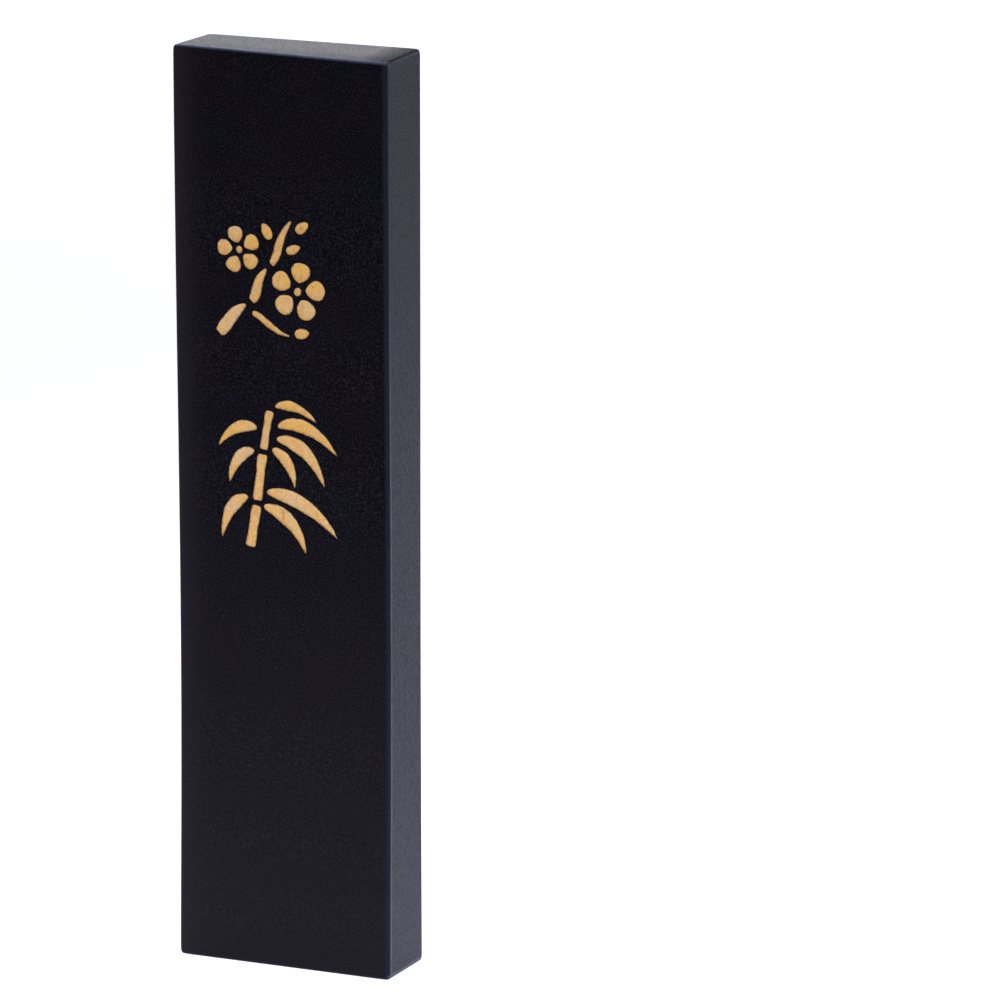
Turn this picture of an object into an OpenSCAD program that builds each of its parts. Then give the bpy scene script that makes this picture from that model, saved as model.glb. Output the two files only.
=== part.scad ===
// Ink stick: a bar of pressed soot and animal glue, standing on its grinding end.
// A plum sprig and a bamboo spray are moulded into the front face as sunken brush strokes,
// and the floor of each stroke carries its own film of gold pigment.
// Frame: +Z up along the stick, -Y is the front face, origin at the centre of the bottom end.

/* [Stick] */
// Height of the stick
stick_height = 88; // [74:1:132]
// Width of the front face
stick_width = 22; // [18:0.5:33]
// Thickness from front to back
stick_depth = 7.6; // [6:0.1:12]
// Width of the flat broken along every edge, measured on each face
edge_chamfer = 0.25; // [0.1:0.05:1]

/* [Moulded strokes] */
// Depth of the strokes below the front face
stroke_depth = 0.25; // [0.2:0.05:0.8]
// Thickness of the gold film on the floor of each stroke
gold_thickness = 0.12; // [0.05:0.01:0.15]
// Height of the plum sprig's centre, as a share of the stick's height
plum_share = 0.757; // [0.74:0.001:0.8]
// Height of the bamboo spray's centre, as a share of the stick's height
bamboo_share = 0.542; // [0.5:0.001:0.56]
// Smoothness: steps along each side of a stroke
stroke_steps = 24; // [12:1:40]

/* [Plum blossoms] */
// Distance from the large blossom's centre to the root of each petal
petal_root = 0.85; // [0.8:0.05:1]
// Distance from the large blossom's centre to the tip of each petal
petal_tip = 2.8; // [2.5:0.05:2.9]
// Half the width of the large blossom's petals at their widest
petal_half_width = 0.97; // [0.7:0.01:1]

/* [Hidden] */
ink_colour = [0.11, 0.11, 0.14];
gold_colour = [0.82, 0.63, 0.39];

// The ornaments are drawn for a face of this size, and scaled to fit the stick's own.
drawn_width = 22;
drawn_height = 88;
ornament_scale = min(stick_width / drawn_width, stick_height / drawn_height);
plum_centre = [-1.1 * ornament_scale, plum_share * stick_height];
bamboo_centre = [-0.6 * ornament_scale, bamboo_share * stick_height];

// ---- Brush stroke geometry -------------------------------------------------------------
// A stroke is [name, centre of its ornament, path, half width, widest, blunt, waist]:
//   path    Bezier control points of the brush's line, from the ornament's centre
//   widest  where along the path the stroke is widest, from 0 to 1
//   blunt   shape of the two ends: 1 is a sharp point, 2 is round, 6 is nearly square
//   waist   share of the width that is lost half-way along
petal_shape = [0.6, 2.1, 0];
round_shape = [0.5, 2, 0];
wood_shape = [0.3, 2.2, 0];
bud_shape = [0.42, 1.9, 0];
cane_shape = [0.5, 6, 0.2];
leaf_shape = [0.38, 1.45, 0];

function unit(angle) = [cos(angle), sin(angle)];

// Point at t on a Bezier curve with any number of control points
function bezier(points, t) =
    len(points) == 1
        ? points[0]
        : bezier([for (i = [0 : len(points) - 2]) (1 - t) * points[i] + t * points[i + 1]], t);

// Direction of the curve's left-hand normal at t
function normal_at(points, t) =
    let (slope = bezier([for (i = [0 : len(points) - 2]) points[i + 1] - points[i]], t))
    [-slope[1], slope[0]] / norm(slope);

// Share of the full width that the stroke has at t
function fullness(t, widest, blunt, waist) =
    let (along = 2 * pow(t, ln(0.5) / ln(widest)) - 1)
    pow(max(0, 1 - pow(abs(along), blunt)), 1 / blunt) * (1 - waist * sin(180 * t));

// Closed outline of a stroke: up its left side and back down its right side.
// The steps are closest together at the two ends, where the outline turns fastest.
function outline(stroke) =
    let (
        path = stroke[2],
        steps = [for (i = [0 : stroke_steps]) (1 - cos(180 * i / stroke_steps)) / 2],
        middle = [for (t = steps) bezier(path, t)],
        side = [for (t = steps)
            normal_at(path, t) * stroke[3] * fullness(t, stroke[4], stroke[5], stroke[6])]
    )
    concat(
        [for (i = [0 : stroke_steps]) middle[i] + side[i]],
        [for (i = [stroke_steps - 1 : -1 : 1]) middle[i] - side[i]]
    );

// The strokes of one ornament that share a shape, from a table of [name, path, half width]
function shaped(prefix, centre, table, shape) =
    [for (row = table) concat([str(prefix, row[0]), centre, row[1], row[2]], shape)];

// ---- The plum sprig --------------------------------------------------------------------
heart_radius = 0.42;
petal_names = ["top", "upper_right", "lower_right", "lower_left", "upper_left"];

// Each blossom is [name, centre, angle of its top petal, size].
blossom_table = [
    ["large", [2.8, -1.1], 80, 1],
    ["small", [-3.2, 2.4], 104, 0.8]
];

// The petals of a blossom, clockwise from the top one
function petals(blossom) =
    [for (i = [0 : 4])
        let (outward = blossom[3] * unit(blossom[2] - 360 / 5 * i))
        [str("petal_", petal_names[i]),
            [blossom[1] + petal_root * outward, blossom[1] + petal_tip * outward],
            blossom[3] * petal_half_width]];

// The dot in the middle of a blossom
function heart(blossom) =
    let (radius = blossom[3] * heart_radius)
    [["heart", [blossom[1] - [radius, 0], blossom[1] + [radius, 0]], radius]];

// The old wood rises from the lower left in three lengths, and a twig leaves its foot.
wood_table = [
    ["bough_lower", [[-5.4, -5.7], [-4.3, -4.6], [-4, -3.6], [-2.6, -2.8]], 0.64],
    ["bough_middle", [[-2, -2.4], [-1.2, -1.6], [-1.6, -0.4], [-0.4, 0.8]], 0.52],
    ["bough_upper", [[0.1, 1.3], [1, 2.2], [0.6, 3.6], [2.2, 5.6]], 0.42],
    ["twig", [[-1.9, -3.5], [-0.5, -3.9], [0.2, -5.2], [1.9, -5.4]], 0.34]
];

// Each bud's path runs from its stalk to its tip.
bud_table = [
    ["left", [[0, 3.7], [-0.7, 5.1]], 0.5],
    ["upper", [[2.7, 4.6], [3.9, 5.5]], 0.5],
    ["right", [[1.7, 2.6], [3.1, 3.2]], 0.46],
    ["foot", [[2.5, -5.2], [3.9, -4.9]], 0.5]
];

plum_sprig = concat(
    [for (blossom = blossom_table) each concat(
        shaped(str("gilt_", blossom[0], "_"), plum_centre, petals(blossom), petal_shape),
        shaped(str("gilt_", blossom[0], "_"), plum_centre, heart(blossom), round_shape)
    )],
    shaped("gilt_", plum_centre, wood_table, wood_shape),
    shaped("gilt_bud_", plum_centre, bud_table, bud_shape)
);

// ---- The bamboo spray ------------------------------------------------------------------
cane_table = [
    ["lower", [[-2.9, -7.1], [-2.5, -5], [-2.2, -3.1]], 0.58],
    ["middle", [[-2.1, -2.6], [-1.8, 0], [-1.5, 1.9]], 0.56],
    ["upper", [[-1.4, 2.4], [-1.1, 4.4], [-0.7, 6.1]], 0.48]
];

// Each leaf's path runs from its stem to its point.
leaf_table = [
    ["crown", [[-0.1, 6.6], [1, 7.1], [2.7, 6.8], [4.2, 5.4]], 0.5],
    ["right_upper", [[0.1, 4.7], [2, 5.7], [4.4, 4.7], [6.2, 2.5]], 0.68],
    ["right_middle", [[0, 3.5], [2.2, 3.6], [3.9, 2.2], [4.9, -0.7]], 0.7],
    ["right_inner", [[-0.5, 2.5], [0.8, 2.1], [1.7, 0.8], [1.8, -1]], 0.6],
    ["right_lower", [[-1.1, -1.7], [1.4, -1.6], [4.2, -2.9], [6.2, -5.5]], 0.76],
    ["right_foot", [[-1.4, -3.1], [0.6, -3.3], [2.2, -4.8], [2.9, -7.2]], 0.72],
    ["left_upper", [[-2.1, 4.3], [-3.3, 4.9], [-5, 4.2], [-6.1, 2.3]], 0.6],
    ["left_middle", [[-2.4, 2.2], [-3.7, 2.1], [-4.7, 0.8], [-5, -1.1]], 0.6],
    ["left_lower", [[-3.1, -2.3], [-4.5, -2.6], [-5.5, -4.1], [-5.8, -6.4]], 0.64]
];

bamboo_spray = concat(
    shaped("gilt_cane_", bamboo_centre, cane_table, cane_shape),
    shaped("gilt_leaf_", bamboo_centre, leaf_table, leaf_shape)
);

strokes = concat(plum_sprig, bamboo_spray);

// ---- Solids ----------------------------------------------------------------------------
// Rectangle centred on the origin with its four corners cut off
module chamfered_rectangle(width, height) {
    x = width / 2;
    y = height / 2;
    c = edge_chamfer;
    polygon([
        [x - c, -y], [x, c - y], [x, y - c], [x - c, y],
        [c - x, y], [-x, y - c], [-x, c - y], [c - x, -y]
    ]);
}

// The bar before the ornament is moulded in: its plan, front and side outlines all at once
module plain_bar() {
    intersection() {
        linear_extrude(stick_height)
            chamfered_rectangle(stick_width, stick_depth);
        translate([0, stick_depth / 2, stick_height / 2])
            rotate([90, 0, 0])
                linear_extrude(stick_depth)
                    chamfered_rectangle(stick_width, stick_height);
        translate([-stick_width / 2, 0, stick_height / 2])
            rotate([90, 0, 90])
                linear_extrude(stick_width)
                    chamfered_rectangle(stick_depth, stick_height);
    }
}

// A stroke's outline as a slab that stands on the stroke's floor and faces the front
module stroke_slab(stroke, thickness) {
    centre = stroke[1];
    translate([centre[0], stroke_depth - stick_depth / 2, centre[1]])
        rotate([90, 0, 0])
            linear_extrude(thickness)
                scale(ornament_scale)
                    polygon(outline(stroke));
}

module ink_body() {
    color(ink_colour)
        difference() {
            plain_bar();
            for (stroke = strokes)
                stroke_slab(stroke, 2 * stroke_depth);
        }
}

module gold_film(stroke) {
    color(gold_colour)
        stroke_slab(stroke, gold_thickness);
}

ink_body();
for (stroke = strokes)
    gold_film(stroke);
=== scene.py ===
"""The looks of the ink stick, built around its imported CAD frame.

The frame is in metres, with +Z up along the stick and -Y out of its ornamented front face.
Shapes are worked out here in millimetres, and turned into metres as each mesh is made.
"""

import math

import bmesh
import bpy
import numpy as np
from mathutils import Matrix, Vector, noise
from mathutils.geometry import delaunay_2d_cdt


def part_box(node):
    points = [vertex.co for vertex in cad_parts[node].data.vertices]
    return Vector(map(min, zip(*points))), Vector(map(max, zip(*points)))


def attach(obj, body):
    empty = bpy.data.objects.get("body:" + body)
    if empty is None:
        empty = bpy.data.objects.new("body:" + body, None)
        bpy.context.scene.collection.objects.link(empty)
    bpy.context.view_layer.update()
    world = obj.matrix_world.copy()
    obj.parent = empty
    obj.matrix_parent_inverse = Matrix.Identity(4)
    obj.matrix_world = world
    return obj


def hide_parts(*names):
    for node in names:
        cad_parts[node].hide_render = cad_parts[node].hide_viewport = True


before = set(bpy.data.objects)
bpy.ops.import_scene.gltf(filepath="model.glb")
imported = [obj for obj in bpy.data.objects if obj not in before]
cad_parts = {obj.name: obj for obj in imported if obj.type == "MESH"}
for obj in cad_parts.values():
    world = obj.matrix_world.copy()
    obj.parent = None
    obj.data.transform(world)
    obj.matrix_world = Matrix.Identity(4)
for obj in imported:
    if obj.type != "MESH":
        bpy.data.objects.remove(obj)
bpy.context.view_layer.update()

# ---- Facts from the frame, in millimetres ------------------------------------------------
MM = 0.001
CLOSE = 0.001  # places no further apart than this count as the same place
BODY = "ink_body"
FILMS = sorted(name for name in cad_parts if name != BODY)


def box_mm(node):
    return [np.array(corner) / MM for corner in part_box(node)]


BODY_LOW, BODY_HIGH = box_mm(BODY)
WIDTH, DEPTH, HEIGHT = BODY_HIGH - BODY_LOW
FRONT, BACK = BODY_LOW[1], BODY_HIGH[1]
FILM_FRONT, STROKE_FLOOR = (corner[1] for corner in box_mm(FILMS[0]))
STROKE_DEPTH = STROKE_FLOOR - FRONT
FILM_SINK = FILM_FRONT - FRONT

# ---- Shape of the real stick, in millimetres ---------------------------------------------
EDGE_SEGMENTS = 6
ROUNDING = 1.2  # radius of a rounded edge, in widths of the CAD bar's chamfer
EDGE_LINES = (0.08, 0.2, 0.35, 0.55, 0.8, 1.1, 1.5)  # lines of mesh beside each rounded edge
FACE_STEP = 1.0  # grid on the plain faces

FACE_HOLLOW = 0.45  # how far the front face has drawn in along its length while drying
SIDE_HOLLOW = 0.05  # how far each narrow side has drawn in
HOLLOW_AT = 0.37  # height of the deepest point, as a share of the stick's height
RIPPLE = 0.012  # unevenness that polishing leaves on the long faces
RIPPLE_SIZE = 7.0

FACE_FALL = 0.03  # how far the broad faces fall away towards the narrow sides
FACE_FALL_REACH = 1.4
RIM_FALL = 0.05  # how far the four long faces fall away towards the two ends
RIM_FALL_REACH = 0.9
END_FALL = 0.03  # how far the two ends fall away towards the narrow sides
END_FALL_REACH = 1.2
TOP_FALL = 0.17  # how far the top falls away towards the front, at its right-hand end
TOP_FALL_REACH = 2.4
TOP_FALL_LEFT = 0.2  # share of that fall that is left at the top's left-hand end
TOP_TWIST = 0.3  # how much lower the top's back left corner lies than its other corners
TOP_DEPTH = 4.0  # the shape of the top leaves everything lower than this alone

OUTLINE_STEPS = 48  # steps along each side of a stroke
OUTLINE_WOBBLES = ((0.045, 0.9), (0.035, 0.4))  # unevenness of the carved outlines, and its size
MOST_INWARDS = 0.8  # share of a stroke's half width that a ring moves inwards at most
HOLD_OUTSIDE = 0.17  # ring of flat face kept round each stroke
HOLD_CLEARANCE = 0.06  # that ring's points keep this far from every lip
GRID_CLEARANCE = 0.35  # the front face's grid keeps this far from every lip
# A stroke's wall from its lip down to its floor: (distance outside the outline, depth)
LIP = [(0.085, 0.0), (0.06, 0.007), (0.035, 0.024), (0.014, 0.055), (0.002, 0.1)]
WALL = [(-0.012, 0.6 * STROKE_DEPTH), (-0.03, STROKE_DEPTH)]

FILM_COLUMNS = 14  # steps across a gold film
FILM_CREEP = 0.045  # how far the pigment has crept up the walls
FILM_CREEP_REACH = 0.08
CREEP_UNEVEN = 0.35  # share by which the creep varies
CREEP_UNEVEN_SIZE = 0.35
FILM_UNEVEN = 0.02  # unevenness of the film's front
FILM_UNEVEN_SIZE = 0.8
FILM_IN_WALL = 0.006  # how far the film's rim runs into the wall, so that no gap shows

# Each kind of unevenness is taken from its own place in the noise.
BROAD_SEED, SIDE_SEED, OUTLINE_SEED, FILM_SEED, CREEP_SEED = 3.1, 8.3, 5.7, 11.9, 2.3

# ---- Where light is painted on the ink, and where its top is duller, in millimetres ------
PAINTED_REFLECTION_BELOW = 50  # painted floor reflection makes the ink paler from this height down to the bottom
PAINTED_REFLECTION_LEFT = 4.2  # width of the border on the left that painted floor reflection makes paler
SIDE_REFLECTION_HEIGHTS = (84, 50)  # where the painted floor reflection on the narrow sides begins, and where it is full
HIGHLIGHT_HEIGHTS = (70, 46)  # the same for the painted highlights up the narrow sides
DULL_END = 3.3  # length of the top's duller right-hand end

# ---- Colours, as linear red, green and blue ----------------------------------------------
BLACK = (0.0004, 0.0003, 0.0008)
BROWN = (0.0018, 0.0009, 0.0009)
BLUE = (0.0004, 0.001, 0.0028)
VIOLET = (0.0014, 0.0005, 0.0024)
SPECK = (0.021, 0.018, 0.023)
# painted floor reflection, low down on the ink
PAINTED_LOW_REFLECTION = (0.0128, 0.0115, 0.0122)
# painted floor reflection along the ink's left border
PAINTED_LEFT_REFLECTION = (0.019, 0.0165, 0.0175)
# painted floor reflection on the narrow sides
PAINTED_SIDE_REFLECTION = (0.038, 0.0395, 0.0435)
# painted sheen along the front's right-hand edge
PAINTED_EDGE_SHEEN = (0.013, 0.0172, 0.028)
# painted sheen on the top behind the front
PAINTED_TOP_SHEEN = (0.07, 0.088, 0.125)
# painted highlights on the narrow sides' front and bottom edges
PAINTED_EDGE_HIGHLIGHT = (0.08, 0.092, 0.1)
INK_SHEEN = (0.92, 0.84, 1.0)

OCHRE = (0.92, 0.5, 0.115)
PALE_GOLD = (0.97, 0.61, 0.19)
CHALKY_GOLD = (0.92, 0.59, 0.23)
DEEP_GOLD = (0.97, 0.55, 0.09)
BROWN_GOLD = (0.6, 0.33, 0.12)
RUSTY_GOLD = (0.72, 0.37, 0.1)
MARKED_GOLD = (0.3, 0.13, 0.035)
# painted shade in the strokes' recesses, beside their walls
PAINTED_WALL_SHADE = (0.16, 0.075, 0.03)

WHITE = (1, 1, 1)
COOL = (0.92, 1.0, 1.22)
SKY = (0.96, 0.98, 1.22)
FLOOR_WHITE = (0.86, 0.86, 0.86)

# ---- Camera and lights -------------------------------------------------------------------
CENTRE = Vector((0, 0, HEIGHT / 2)) * MM
CAMERA_FROM_CENTRE = Vector((4.152, -8.642, 2.355)) * HEIGHT * MM
CAMERA_TURN, CAMERA_TILT = 24.38, 13.76  # degrees left of +Y, and below level
CAMERA_SENSOR, CAMERA_LENS = 36, 333.3  # millimetres
CAMERA_CLIP = (0.01, 20)  # metres

FLOOR_RADIUS = 3  # metres
GLOW, GLOW_REACH = 1.0, 150  # light that comes up through the floor, and its reach in mm
SKY_STRENGTH = 0.5
LIGHT_DISTANCE = 0.65  # metres
# Each softbox: name, azimuth and elevation in degrees, size in metres, watts, colour
SOFTBOXES = (
    ("back", -170, 20, 0.4, 0.6, WHITE),
    ("back_right", 150, 12, 0.3, 1.35, COOL),
    ("back_left_high", -150, 55, 0.4, 1.5, SKY),
    ("back_left_low", -150, 12, 0.3, 0.3, WHITE),
)


# ---- Unevenness ---------------------------------------------------------------------------
def smooth_noise(points, size, seed):
    """Noise from -1 to 1 at each point, with features about size millimetres across."""
    shift = Vector((seed, 2 * seed, 3 * seed))
    return np.array([noise.noise(Vector(point) / size + shift) for point in points])


def fall(to_border, depth, reach):
    """How far a face has fallen away at a distance from its border."""
    return depth * np.clip(1 - to_border / reach, 0, 1) ** 2


def top_drop(points):
    """How much lower each point lies because the top is neither flat nor level."""
    x, y, z = points.T
    to_right = 0.5 + x / WIDTH
    to_back = (y - FRONT) / DEPTH
    near_top = np.clip(1 - (HEIGHT - z) / TOP_DEPTH, 0, 1)
    fallen = fall(y - FRONT, TOP_FALL, TOP_FALL_REACH)
    fallen *= TOP_FALL_LEFT + (1 - TOP_FALL_LEFT) * to_right
    twisted = TOP_TWIST * (1 - to_right) * to_back
    return near_top * (fallen + twisted)


def settle(points):
    """Where the moulded bar's points lie once it has dried and been rubbed down."""
    points = np.asarray(points, float)
    x, y, z = points.T
    upwards = np.clip(z / HEIGHT, 0, 1)
    to_front = (BACK - y) / DEPTH
    to_side = WIDTH / 2 - abs(x)
    drawn = np.sin(math.pi * upwards ** (math.log(0.5) / math.log(HOLLOW_AT))) ** 2
    ripple = 0.5 * RIPPLE * np.sin(math.pi * upwards)
    uneven = ripple * (1 + smooth_noise(points * [1, 0, 1], RIPPLE_SIZE, BROAD_SEED))
    uneven_side = ripple * (1 + smooth_noise(points * [0, 1, 1], RIPPLE_SIZE, SIDE_SEED))
    beside_end = fall(np.minimum(z, HEIGHT - z), RIM_FALL, RIM_FALL_REACH)
    worn = uneven + fall(to_side, FACE_FALL, FACE_FALL_REACH) + beside_end
    end = fall(to_side, END_FALL, END_FALL_REACH)
    settled = points.copy()
    settled[:, 0] *= 1 - 2 * (SIDE_HOLLOW * drawn + uneven_side + beside_end) / WIDTH
    settled[:, 1] += to_front * (FACE_HOLLOW * drawn + worn) - (1 - to_front) * worn
    settled[:, 2] += (1 - 2 * upwards) * end - top_drop(points)
    return settled


# ---- Strokes ------------------------------------------------------------------------------
def film_outline(node):
    """Corners of a gold film's front in order, as (x, z)."""
    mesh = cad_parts[node].data
    places = [tuple(round(c / MM, 5) for c in vert.co) for vert in mesh.vertices]
    sides = {}
    for face in mesh.polygons:
        corners = [places[i] for i in face.vertices]
        if all(abs(corner[1] - FILM_FRONT) < CLOSE for corner in corners):
            for a, b in zip(corners, corners[1:] + corners[:1]):
                side = frozenset((a, b))
                sides[side] = sides.get(side, 0) + 1
    neighbours = {}
    for a, b in (side for side, count in sides.items() if count == 1):
        neighbours.setdefault(a, []).append(b)
        neighbours.setdefault(b, []).append(a)
    start = min(neighbours)
    loop = [start, neighbours[start][0]]
    while loop[-1] != start:
        a, b = neighbours[loop[-1]]
        loop.append(b if a == loop[-2] else a)
    return np.array([(x, z) for x, y, z in loop[:-1]])


def resample(points, count):
    """count + 1 points along a smooth line through the given ones, evenly spread among them."""
    before = 2 * points[0] - points[1]
    after = 2 * points[-1] - points[-2]
    padded = np.vstack([before, points, after])
    at = np.linspace(0, len(points) - 1, count + 1)
    cell = np.minimum(at.astype(int), len(points) - 2)
    t = (at - cell)[:, None]
    p0, p1, p2, p3 = (padded[cell + k] for k in range(4))
    return 0.5 * (
        2 * p1
        + (p2 - p0) * t
        + (2 * p0 - 5 * p1 + 4 * p2 - p3) * t**2
        + (3 * p1 - p0 - 3 * p2 + p3) * t**3
    )


def two_sides(outline):
    """The outline's left and right side, paired from one tip of the stroke to the other."""
    count = len(outline)
    step = np.arange(count // 2 + 1)
    crossing = [
        np.linalg.norm(outline[(k + step) % count] - outline[(k - step) % count], axis=1).sum()
        for k in range(count)
    ]
    tip = int(np.argmin(crossing))
    return outline[(tip + step) % count], outline[(tip - step) % count]


def outward_normals(loop):
    """Unit normals of a closed loop, pointing out of it."""
    along = np.roll(loop, -1, axis=0) - np.roll(loop, 1, axis=0)
    normal = np.stack([along[:, 1], -along[:, 0]], axis=1)
    normal /= np.linalg.norm(normal, axis=1, keepdims=True)
    x, z = loop.T
    turn = np.sum(x * np.roll(z, -1) - np.roll(x, -1) * z)
    return normal if turn > 0 else -normal


class Stroke:
    """One brush stroke: its closed loop of points runs up the left side and down the right."""

    def __init__(self, node):
        self.node = node
        left, right = (resample(side, OUTLINE_STEPS) for side in two_sides(film_outline(node)))
        loop = np.vstack([left, right[-2:0:-1]])
        places = np.c_[loop[:, 0], 0 * loop[:, 0], loop[:, 1]]
        wobble = sum(
            size * smooth_noise(places, across, OUTLINE_SEED) for size, across in OUTLINE_WOBBLES
        )
        self.loop = loop + wobble[:, None] * outward_normals(loop)
        self.normals = outward_normals(self.loop)
        # Indices in the loop of each station's left and right point
        step = np.arange(OUTLINE_STEPS + 1)
        self.left, self.right = step, -step % (2 * OUTLINE_STEPS)

    def ring(self, outside):
        """The loop moved outwards, or inwards where outside is negative."""
        if outside >= 0:
            return self.loop + outside * self.normals
        left, right = self.loop[self.left], self.loop[self.right]
        inward = np.zeros_like(self.loop)
        inward[self.left] = (right - left) / 2
        inward[self.right] = (left - right) / 2
        half_width = np.linalg.norm(inward, axis=1)
        share = np.minimum(MOST_INWARDS, -outside / np.maximum(half_width, 1e-6))
        return self.loop + share[:, None] * inward


def inside(points, loop):
    """Which points lie inside a closed loop."""
    x, z = points[:, 0:1], points[:, 1:2]
    x0, z0 = loop[:, 0], loop[:, 1]
    x1, z1 = np.roll(x0, -1), np.roll(z0, -1)
    spans = (z0 > z) != (z1 > z)
    rise = np.where(z1 == z0, 1e-12, z1 - z0)
    crossed = spans & (x < (x1 - x0) * (z - z0) / rise + x0)
    return crossed.sum(axis=1) % 2 == 1


def clearance(points, loops):
    """Distance from each point to the nearest point of any loop."""
    return np.linalg.norm(points[:, None] - np.vstack(loops)[None], axis=2).min(axis=1)


strokes = [Stroke(name) for name in FILMS]


# ---- The ink bar --------------------------------------------------------------------------
def cuts(low, high, radius):
    """Places of the grid lines across a face, closest together beside its edges."""
    beside = radius + np.array(EDGE_LINES)
    first, last = low + beside[-1], high - beside[-1]
    middle = np.linspace(first, last, round((last - first) / FACE_STEP) + 1)
    return np.concatenate([low + beside[:-1], middle, high - beside[:-1]])


def chamfer_width():
    """Width of the CAD bar's chamfers, from the edge of its front face."""
    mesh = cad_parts[BODY].data
    reach = max(vert.co.x for vert in mesh.vertices if abs(vert.co.y / MM - FRONT) < CLOSE)
    return WIDTH / 2 - reach / MM


def plain_bar():
    """A bar with rounded edges and a grid on each face."""
    radius = ROUNDING * chamfer_width()
    bm = bmesh.new()
    bmesh.ops.create_cube(bm, size=1)
    bmesh.ops.scale(bm, vec=(WIDTH, DEPTH, HEIGHT), verts=bm.verts)
    bmesh.ops.translate(bm, vec=(0, 0, HEIGHT / 2), verts=bm.verts)
    bmesh.ops.bevel(
        bm, geom=bm.edges[:], offset=radius, offset_type="OFFSET",
        segments=EDGE_SEGMENTS, profile=0.5, affect="EDGES",
    )
    for axis in range(3):
        across = Vector((0, 0, 0))
        across[axis] = 1
        for place in cuts(BODY_LOW[axis], BODY_HIGH[axis], radius):
            bmesh.ops.bisect_plane(
                bm, geom=bm.verts[:] + bm.edges[:] + bm.faces[:],
                dist=1e-5, plane_co=place * across, plane_no=across,
            )
    return bm


def open_front(bm):
    """Takes the front face out of the bar. Returns its rim's vertices and the points inside it."""
    on_front = [
        face for face in bm.faces
        if all(abs(vert.co.y - FRONT) < CLOSE for vert in face.verts)
    ]
    corners = {vert for face in on_front for vert in face.verts}
    bmesh.ops.delete(bm, geom=on_front, context="FACES_ONLY")
    loose_edges = [edge for edge in bm.edges if not edge.link_faces]
    bmesh.ops.delete(bm, geom=loose_edges, context="EDGES_FACES")
    rim = [vert for vert in corners if vert.is_valid and vert.link_faces]
    inner = [vert for vert in corners if vert.is_valid and not vert.link_faces]
    grid = np.array([(vert.co.x, vert.co.z) for vert in inner])
    bmesh.ops.delete(bm, geom=inner, context="VERTS")
    return rim, grid


def face_points(grid, lips):
    """Points of the front face between the strokes: rings round the lips, and the grid."""
    holds = np.vstack([stroke.ring(HOLD_OUTSIDE)[::2] for stroke in strokes])
    for lip in lips:
        holds = holds[~inside(holds, lip)]
        grid = grid[~inside(grid, lip)]
    holds = holds[clearance(holds, lips) > HOLD_CLEARANCE]
    grid = grid[clearance(grid, lips) > GRID_CLEARANCE]
    return np.vstack([holds, grid])


def close_front(bm, rim, grid):
    """Fills the front face again round the strokes' lips. Returns each lip's vertices."""

    def new_verts(points):
        return [bm.verts.new((x, FRONT, z)) for x, z in points]

    lips = [stroke.ring(LIP[0][0]) for stroke in strokes]
    lip_verts = [new_verts(lip) for lip in lips]
    corners = rim + [vert for verts in lip_verts for vert in verts]
    corners += new_verts(face_points(grid, lips))
    place = {vert: i for i, vert in enumerate(corners)}
    sides = [
        (place[edge.verts[0]], place[edge.verts[1]])
        for edge in bm.edges
        if edge.is_boundary and all(vert in place for vert in edge.verts)
    ]
    for verts in lip_verts:
        sides += [(place[a], place[b]) for a, b in zip(verts, verts[1:] + verts[:1])]
    flat = [Vector((vert.co.x, vert.co.z)) for vert in corners]
    found, _, faces, origins, _, _ = delaunay_2d_cdt(flat, sides, [], 0, 1e-6)
    centres = np.array([np.mean([found[i] for i in face], axis=0) for face in faces])
    in_stroke = np.any([inside(centres, lip) for lip in lips], axis=0)
    for face, hollow in zip(faces, in_stroke):
        if not hollow:
            bm.faces.new([corners[origins[i][0]] for i in face])
    return lip_verts


def sink_stroke(bm, stroke, lip_verts):
    """Carries a stroke's lip down its walls and closes its floor."""
    ring = lip_verts
    for outside, depth in LIP[1:] + WALL:
        lower = [bm.verts.new((x, FRONT + depth, z)) for x, z in stroke.ring(outside)]
        for i in range(len(ring)):
            k = (i + 1) % len(ring)
            bm.faces.new((ring[i], ring[k], lower[k], lower[i]))
        ring = lower
    for i in range(OUTLINE_STEPS):
        corners = [ring[i], ring[i + 1], ring[-(i + 1)], ring[-i]]
        bm.faces.new(list(dict.fromkeys(corners)))


def finish_mesh(name, bm, attributes, material):
    """Settles a bmesh drawn in millimetres and makes it a piece in metres."""
    bmesh.ops.recalc_face_normals(bm, faces=bm.faces)
    places = settle([vert.co for vert in bm.verts])
    for vert, place in zip(bm.verts, places):
        vert.co = Vector(place) * MM
    mesh = bpy.data.meshes.new(name)
    bm.to_mesh(mesh)
    bm.free()
    for title, values in attributes.items():
        mesh.attributes.new(title, "FLOAT", "POINT").data.foreach_set("value", values)
    mesh.shade_smooth()
    mesh.materials.append(material)
    piece = bpy.data.objects.new(name, mesh)
    bpy.context.scene.collection.objects.link(piece)
    return piece


def ink_bar(material):
    """The bar, which keeps its points' distances from three faces as they were when moulded."""
    bm = plain_bar()
    rim, grid = open_front(bm)
    lips = close_front(bm, rim, grid)
    for stroke, lip in zip(strokes, lips):
        sink_stroke(bm, stroke, lip)
    points = np.array([vert.co for vert in bm.verts])
    distances = {
        "from_front": points[:, 1] - FRONT,
        "from_top": HEIGHT - points[:, 2],
        "from_bottom": points[:, 2],
    }
    return finish_mesh("ink_bar", bm, distances, material)


# ---- The gold films -----------------------------------------------------------------------
def rows_across(stroke, ring):
    """Rows of points across a ring, and each point's distance to the nearer side of its row."""
    left, right = ring[stroke.left], ring[stroke.right]
    share = 0.5 - 0.5 * np.cos(np.linspace(0, math.pi, FILM_COLUMNS + 1))
    rows = left[:, None] + share[None, :, None] * (right - left)[:, None]
    width = np.linalg.norm(right - left, axis=1)
    return rows, width[:, None] * np.minimum(share, 1 - share)[None]


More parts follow.
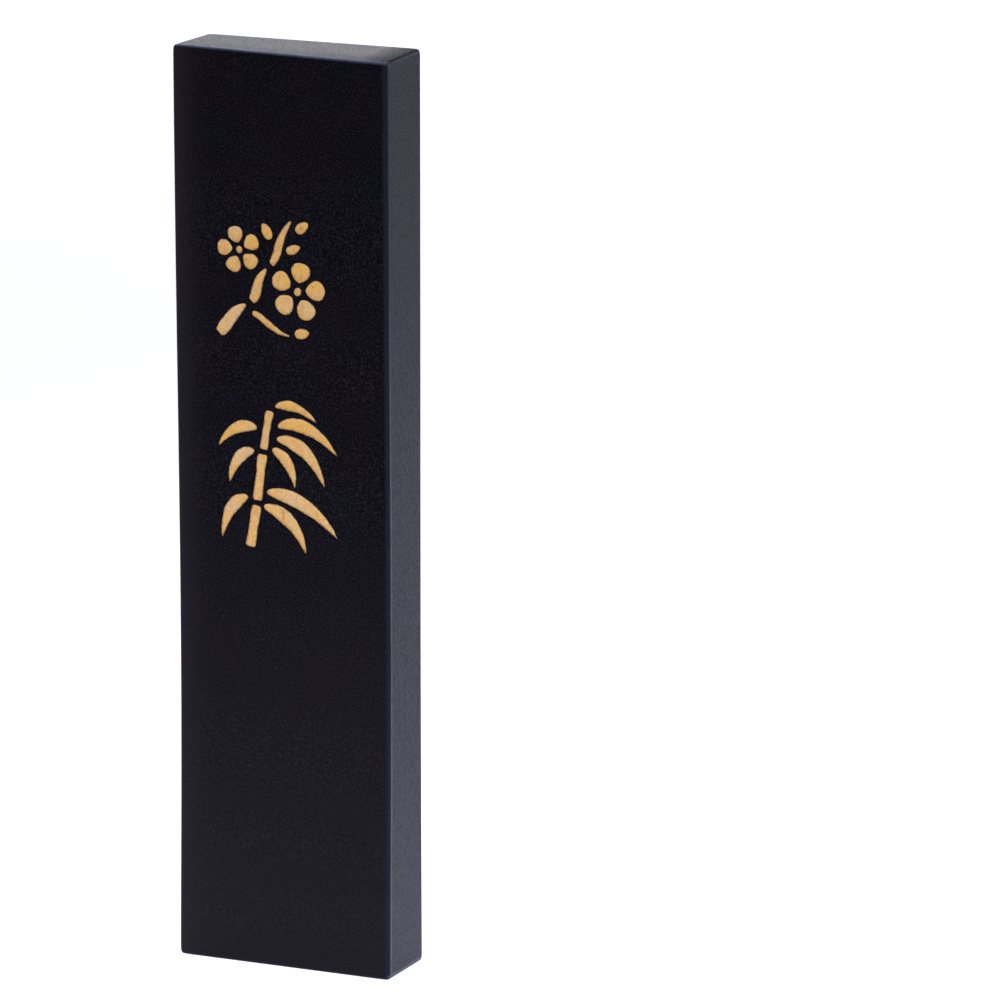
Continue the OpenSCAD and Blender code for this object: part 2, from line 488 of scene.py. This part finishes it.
def film_depths(rows, to_wall):
    """Depth below the front face at each point of a film's front."""
    places = np.stack([rows[..., 0], 0 * to_wall, rows[..., 1]], axis=-1).reshape(-1, 3)
    uneven = smooth_noise(places, FILM_UNEVEN_SIZE, FILM_SEED).reshape(to_wall.shape)
    ragged = smooth_noise(places, CREEP_UNEVEN_SIZE, CREEP_SEED).reshape(to_wall.shape)
    creep = FILM_CREEP * (1 + CREEP_UNEVEN * ragged) * np.exp(-to_wall / FILM_CREEP_REACH)
    return FILM_SINK - creep + FILM_UNEVEN * uneven


def gold_film(stroke, material):
    """A film that lies on a stroke's floor and runs out into the stroke's walls."""
    front, to_wall = rows_across(stroke, stroke.ring(WALL[0][0]) + FILM_IN_WALL * stroke.normals)
    back, _ = rows_across(stroke, stroke.ring(WALL[1][0]))
    depths = film_depths(front, to_wall)
    on_floor = np.full(to_wall.shape, STROKE_DEPTH)
    last_row, last_column = np.array(to_wall.shape) - 1
    bm = bmesh.new()
    tops, bottoms, wall_distance = [], [], []

    def add_row(rows, i, points, depth, to_side):
        """Adds row i. At the stroke's two tips a single vertex stands for the whole row."""
        is_tip = i in (0, last_row)
        count = 1 if is_tip else last_column + 1
        verts = [bm.verts.new((x, FRONT + y, z)) for (x, z), y in zip(points[i][:count], depth[i])]
        wall_distance.extend(to_side[i][:count])
        rows.append(verts * (last_column + 1) if is_tip else verts)

    def add_face(*corners):
        distinct = list(dict.fromkeys(corners))
        if len(distinct) > 2:
            bm.faces.new(distinct)

    for i in range(last_row + 1):
        add_row(tops, i, front, depths, to_wall)
        add_row(bottoms, i, back, on_floor, 0 * to_wall)
    for i in range(last_row):
        for j in range(last_column):
            add_face(tops[i][j], tops[i][j + 1], tops[i + 1][j + 1], tops[i + 1][j])
            add_face(bottoms[i][j], bottoms[i + 1][j], bottoms[i + 1][j + 1], bottoms[i][j + 1])
        for j in (0, last_column):
            add_face(tops[i][j], tops[i + 1][j], bottoms[i + 1][j], bottoms[i][j])
    name = stroke.node.replace("gilt_", "gold_")
    return finish_mesh(name, bm, {"wall_distance": wall_distance}, material)


# ---- Materials ----------------------------------------------------------------------------
class Surface:
    """A material's node tree. Most methods add a node and return its output socket.

    Lengths are in millimetres.
    """

    def __init__(self, name):
        self.material = bpy.data.materials.new(name)
        self.material.use_nodes = True
        self.nodes = self.material.node_tree.nodes
        self.links = self.material.node_tree.links
        self.shader = self.nodes["Principled BSDF"]

    def plug(self, value, socket):
        """Links an output to the socket, or sets the socket to a colour or a number."""
        if isinstance(value, bpy.types.NodeSocket):
            self.links.new(value, socket)
        elif socket.type == "RGBA":
            socket.default_value = (*value, 1)
        else:
            socket.default_value = value

    def place(self, stretch=(1, 1, 1)):
        """Position on the object, stretched."""
        where = self.nodes.new("ShaderNodeTexCoord").outputs["Object"]
        mapping = self.nodes.new("ShaderNodeMapping")
        self.links.new(where, mapping.inputs["Vector"])
        mapping.inputs["Scale"].default_value = [s / MM for s in stretch]
        return mapping.outputs["Vector"]

    def along(self, axis):
        """Position along X, Y or Z."""
        node = self.nodes.new("ShaderNodeSeparateXYZ")
        self.links.new(self.place(), node.inputs["Vector"])
        return node.outputs[axis]

    def from_origin(self):
        """Distance from the object's origin."""
        node = self.nodes.new("ShaderNodeVectorMath")
        node.operation = "LENGTH"
        self.links.new(self.place(), node.inputs[0])
        return node.outputs["Value"]

    def attribute(self, title):
        """A number that the mesh keeps for each of its points."""
        node = self.nodes.new("ShaderNodeAttribute")
        node.attribute_name = title
        return node.outputs["Fac"]

    def noise(self, size, detail, stretch=(1, 1, 1)):
        """Noise from 0 to 1 with features about size across."""
        node = self.nodes.new("ShaderNodeTexNoise")
        self.links.new(self.place(stretch), node.inputs["Vector"])
        node.inputs["Scale"].default_value = 1 / size
        node.inputs["Detail"].default_value = detail
        return node.outputs["Fac"]

    def remap(self, value, low, high, to_low=0.0, to_high=1.0):
        """to_low where value is low, to_high where it is high, and an even slope between them."""
        node = self.nodes.new("ShaderNodeMapRange")
        for socket, number in zip(node.inputs, (value, low, high, to_low, to_high)):
            self.plug(number, socket)
        return node.outputs["Result"]

    def patches(self, size, detail, low, high, to_low=0.0, to_high=1.0):
        """Noise with its values remapped."""
        return self.remap(self.noise(size, detail), low, high, to_low, to_high)

    def line(self, distance, centre, core, reach):
        """A line where a distance is centre: full within core of it, and gone at reach."""
        off = self.math("ABSOLUTE", self.math("SUBTRACT", distance, centre))
        return self.remap(off, core, reach, 1, 0)

    def hair_cracks(self, size, width, stretch):
        """Thin winding lines: 1 on a line and 0 away from it."""
        return self.line(self.noise(size, 1, stretch), 0.5, 0, width)

    def math(self, operation, a, b=0.0):
        node = self.nodes.new("ShaderNodeMath")
        node.operation = operation
        self.plug(a, node.inputs[0])
        self.plug(b, node.inputs[1])
        return node.outputs[0]

    def multiply(self, a, b):
        return self.math("MULTIPLY", a, b)

    def mix(self, share, a, b):
        """Colour a, turning to colour b as share goes from 0 to 1."""
        node = self.nodes.new("ShaderNodeMix")
        node.data_type = "RGBA"
        self.plug(share, node.inputs[0])
        self.plug(a, node.inputs[6])
        self.plug(b, node.inputs[7])
        return node.outputs[2]

    def bump(self, height, depth, under=None):
        """A normal bumped by height times depth, on top of another one."""
        node = self.nodes.new("ShaderNodeBump")
        node.inputs["Distance"].default_value = depth * MM
        self.links.new(height, node.inputs["Height"])
        if under is not None:
            self.links.new(under, node.inputs["Normal"])
        return node.outputs["Normal"]

    def set(self, **values):
        """Sets the shader's sockets: Base_Color=... is its Base Color."""
        for title, value in values.items():
            self.plug(value, self.shader.inputs[title.replace("_", " ")])


def ink_tones(ink):
    """Black with faint patches of other tones, made paler low down and along its left side by
    painted floor reflection.
    """
    colour = ink.mix(ink.patches(5, 3, 0.45, 0.65), BLACK, BROWN)
    colour = ink.mix(ink.patches(4.1, 3, 0.5, 0.68), colour, BLUE)
    colour = ink.mix(ink.patches(6.3, 3, 0.54, 0.7), colour, VIOLET)
    # painted floor reflection: the ink grows paler towards the bottom
    low = ink.remap(ink.along("Z"), PAINTED_REFLECTION_BELOW, 0, 0, 0.85)
    colour = ink.mix(low, colour, PAINTED_LOW_REFLECTION)
    colour = ink.mix(ink.patches(0.14, 3, 0.485, 0.69), colour, SPECK)
    # painted floor reflection: paler along the left border
    left = ink.remap(ink.along("X"), BODY_LOW[0], BODY_LOW[0] + PAINTED_REFLECTION_LEFT, 1, 0)
    return ink.mix(ink.math("POWER", left, 2), colour, PAINTED_LEFT_REFLECTION)


def ink_side_reflection(ink, colour, on_side):
    """Painted floor reflection on the narrow sides, laid on in patches, strongest low down."""
    # painted floor reflection on the narrow sides, stronger towards the bottom
    side_reflection = ink.multiply(on_side, ink.remap(ink.along("Z"), *SIDE_REFLECTION_HEIGHTS))
    side_reflection = ink.multiply(side_reflection, ink.patches(0.3, 2, 0.36, 0.64, 0.35, 1))
    return ink.mix(side_reflection, colour, PAINTED_SIDE_REFLECTION)


def ink_painted_sheen(ink, colour, on_top):
    """Painted blue sheen, standing for reflections of the lights, along the front's right-hand
    edge and on the top behind the front.
    """
    patches = ink.patches(1.6, 3, 0.35, 0.65, 0.7, 1)
    from_front = ink.attribute("from_front")
    by_right = ink.remap(ink.along("X"), WIDTH / 2 - 0.55, WIDTH / 2 - 0.3)
    # painted sheen: reflection of the lights along the front's right-hand edge
    edge = ink.multiply(ink.remap(from_front, 0.15, 0.35, 1, 0), by_right)
    colour = ink.mix(ink.multiply(edge, patches), colour, PAINTED_EDGE_SHEEN)
    # painted sheen: reflection of the lights on the top behind the front
    top_sheen = ink.multiply(ink.remap(from_front, 0.2, 1.3, 1, 0), on_top)
    return ink.mix(ink.multiply(top_sheen, patches), colour, PAINTED_TOP_SHEEN)


def ink_painted_highlights(ink, colour, on_side):
    """Painted highlights along the narrow sides' front and bottom edges."""
    # painted highlights along the narrow sides' front and bottom edges
    upright = ink.line(ink.attribute("from_front"), 0.4, 0.08, 0.22)
    upright = ink.multiply(upright, ink.remap(ink.along("Z"), *HIGHLIGHT_HEIGHTS))
    bottom = ink.line(ink.attribute("from_bottom"), 0.3, 0.12, 0.28)
    lines = ink.multiply(ink.math("MAXIMUM", upright, bottom), on_side)
    lines = ink.multiply(lines, ink.patches(1.5, 3, 0.3, 0.6, 0.5, 1))
    return ink.mix(lines, colour, PAINTED_EDGE_HIGHLIGHT)


def ink_finish(ink, on_top):
    """Roughness and normal of the ink: fine streaks and grain, and a duller end to the top."""
    streaks = ink.noise(0.4, 3, stretch=(1, 1, 0.06))
    grain = ink.noise(0.2, 2)
    rough = ink.remap(streaks, 0.3, 0.7, 0.36, 0.4)
    rough = ink.math("ADD", rough, ink.remap(grain, 0.35, 0.65, -0.07, 0.07))
    dull_end = ink.remap(ink.along("X"), WIDTH / 2 - DULL_END, WIDTH / 2)
    rough = ink.math("ADD", rough, ink.multiply(ink.multiply(on_top, dull_end), 0.25))
    return rough, ink.bump(grain, 0.05, ink.bump(streaks, 0.008))


def ink_material():
    """Pressed soot and glue, with a soft sheen, and with painted reflections, sheen and highlights
    in its colour.
    """
    ink = Surface("ink")
    from_middle = ink.math("ABSOLUTE", ink.along("X"))
    on_side = ink.remap(from_middle, WIDTH / 2 - 0.3, WIDTH / 2 - 0.15)
    on_top = ink.remap(ink.attribute("from_top"), 0.05, 0.2, 1, 0)
    colour = ink_side_reflection(ink, ink_tones(ink), on_side)
    colour = ink_painted_sheen(ink, colour, on_top)
    colour = ink_painted_highlights(ink, colour, on_side)
    rough, normal = ink_finish(ink, on_top)
    ink.set(Base_Color=colour, Roughness=rough, Normal=normal)
    ink.set(IOR=1.138, Specular_Tint=INK_SHEEN)
    return ink.material


def gold_tones(gold):
    """Ochre with patches of other golds."""
    colour = gold.mix(gold.patches(0.9, 3, 0.35, 0.65), OCHRE, PALE_GOLD)
    colour = gold.mix(gold.patches(3.7, 2, 0.5, 0.62), colour, CHALKY_GOLD)
    colour = gold.mix(gold.patches(4.4, 2, 0.52, 0.64), colour, DEEP_GOLD)
    colour = gold.mix(gold.patches(0.16, 2, 0.42, 0.66, 0, 0.42), colour, BROWN_GOLD)
    return gold.mix(gold.patches(0.6, 3, 0.5, 0.68, 0, 0.4), colour, RUSTY_GOLD)


def gold_marks(gold):
    """How strongly each place is marked by hair cracks, pits and smudges, from 0 to 1."""
    cracks = gold.hair_cracks(1.1, 0.02, (1, 1, 0.35))
    cracks = gold.multiply(cracks, gold.patches(1.3, 2, 0.5, 0.58))
    pits = gold.patches(0.12, 2, 0.64, 0.74)
    smudge = gold.multiply(gold.patches(0.4, 3, 0.5, 0.7), gold.patches(1.7, 1, 0.5, 0.65))
    marks = gold.math("MAXIMUM", gold.multiply(cracks, 0.8), gold.multiply(pits, 0.7))
    return gold.math("MAXIMUM", marks, gold.multiply(smudge, 0.35))


def gold_material():
    """Gold pigment, marked and blotchy, with painted shade beside the strokes' walls."""
    gold = Surface("gold_pigment")
    colour = gold.mix(gold.multiply(gold_marks(gold), 0.6), gold_tones(gold), MARKED_GOLD)
    # painted shade: darker where the gold meets the strokes' walls, with a ragged border
    ragged = gold.patches(0.28, 3, 0.3, 0.7, -0.09, 0.05)
    ragged = gold.math("ADD", gold.attribute("wall_distance"), ragged)
    wall_shade = gold.remap(ragged, 0, 0.1, 1, 0)
    colour = gold.mix(gold.multiply(wall_shade, 0.75), colour, PAINTED_WALL_SHADE)
    grain = gold.noise(0.14, 3)
    rough = gold.remap(grain, 0.3, 0.7, 0.42, 0.6)
    normal = gold.bump(grain, 0.015, gold.bump(gold.noise(0.5, 3), 0.03))
    gold.set(Base_Color=colour, Roughness=rough, Normal=normal, Metallic=0.25)
    return gold.material


def floor_material():
    """White, and glowing upwards round the stick as a light table does."""
    floor = Surface("studio_floor")
    floor.set(Base_Color=FLOOR_WHITE, Roughness=0.9, Specular_IOR_Level=0.1)
    reach = floor.math("DIVIDE", floor.from_origin(), GLOW_REACH)
    glow = floor.math("EXPONENT", floor.multiply(floor.math("POWER", reach, 2), -1))
    floor.set(Emission_Color=SKY, Emission_Strength=floor.multiply(glow, GLOW))
    return floor.material


# ---- The object ---------------------------------------------------------------------------
def build_stick():
    ink, gold = ink_material(), gold_material()
    bar = ink_bar(ink)
    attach(bar, "root")
    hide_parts(BODY)
    for stroke in strokes:
        film = gold_film(stroke, gold)
        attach(film, "root")
        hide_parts(stroke.node)


# ---- The studio ---------------------------------------------------------------------------
def make_camera():
    data = bpy.data.cameras.new("camera")
    data.sensor_width = CAMERA_SENSOR
    data.lens = CAMERA_LENS
    data.clip_start, data.clip_end = CAMERA_CLIP
    camera = bpy.data.objects.new("camera", data)
    camera.location = CENTRE + CAMERA_FROM_CENTRE
    camera.rotation_euler = (math.radians(90 - CAMERA_TILT), 0, math.radians(CAMERA_TURN))
    bpy.context.scene.collection.objects.link(camera)
    bpy.context.scene.camera = camera


def make_softbox(name, azimuth, elevation, size, power, colour):
    """A square area light that faces the middle of the stick.

    Its azimuth is measured from the front of the stick, anticlockwise as seen from above.
    """
    turn, lift = math.radians(azimuth), math.radians(elevation)
    level = math.cos(lift)
    to_light = Vector((math.sin(turn) * level, -math.cos(turn) * level, math.sin(lift)))
    data = bpy.data.lights.new(name, "AREA")
    data.size = size
    data.energy = power
    data.color = colour
    light = bpy.data.objects.new(name, data)
    light.location = CENTRE + LIGHT_DISTANCE * to_light
    light.rotation_euler = to_light.to_track_quat("Z", "Y").to_euler()
    bpy.context.scene.collection.objects.link(light)


def make_world():
    world = bpy.data.worlds.new("studio")
    world.use_nodes = True
    background = world.node_tree.nodes["Background"]
    background.inputs["Color"].default_value = (*SKY, 1)
    background.inputs["Strength"].default_value = SKY_STRENGTH
    bpy.context.scene.world = world
    bpy.context.scene.view_settings.view_transform = "Standard"


def make_floor():
    bm = bmesh.new()
    bmesh.ops.create_circle(bm, cap_ends=True, radius=FLOOR_RADIUS, segments=96)
    mesh = bpy.data.meshes.new("floor")
    bm.to_mesh(mesh)
    bm.free()
    mesh.materials.append(floor_material())
    floor = bpy.data.objects.new("floor", mesh)
    bpy.context.scene.collection.objects.link(floor)


make_camera()
build_stick()
make_world()
make_floor()
for row in SOFTBOXES:
    make_softbox(*row)
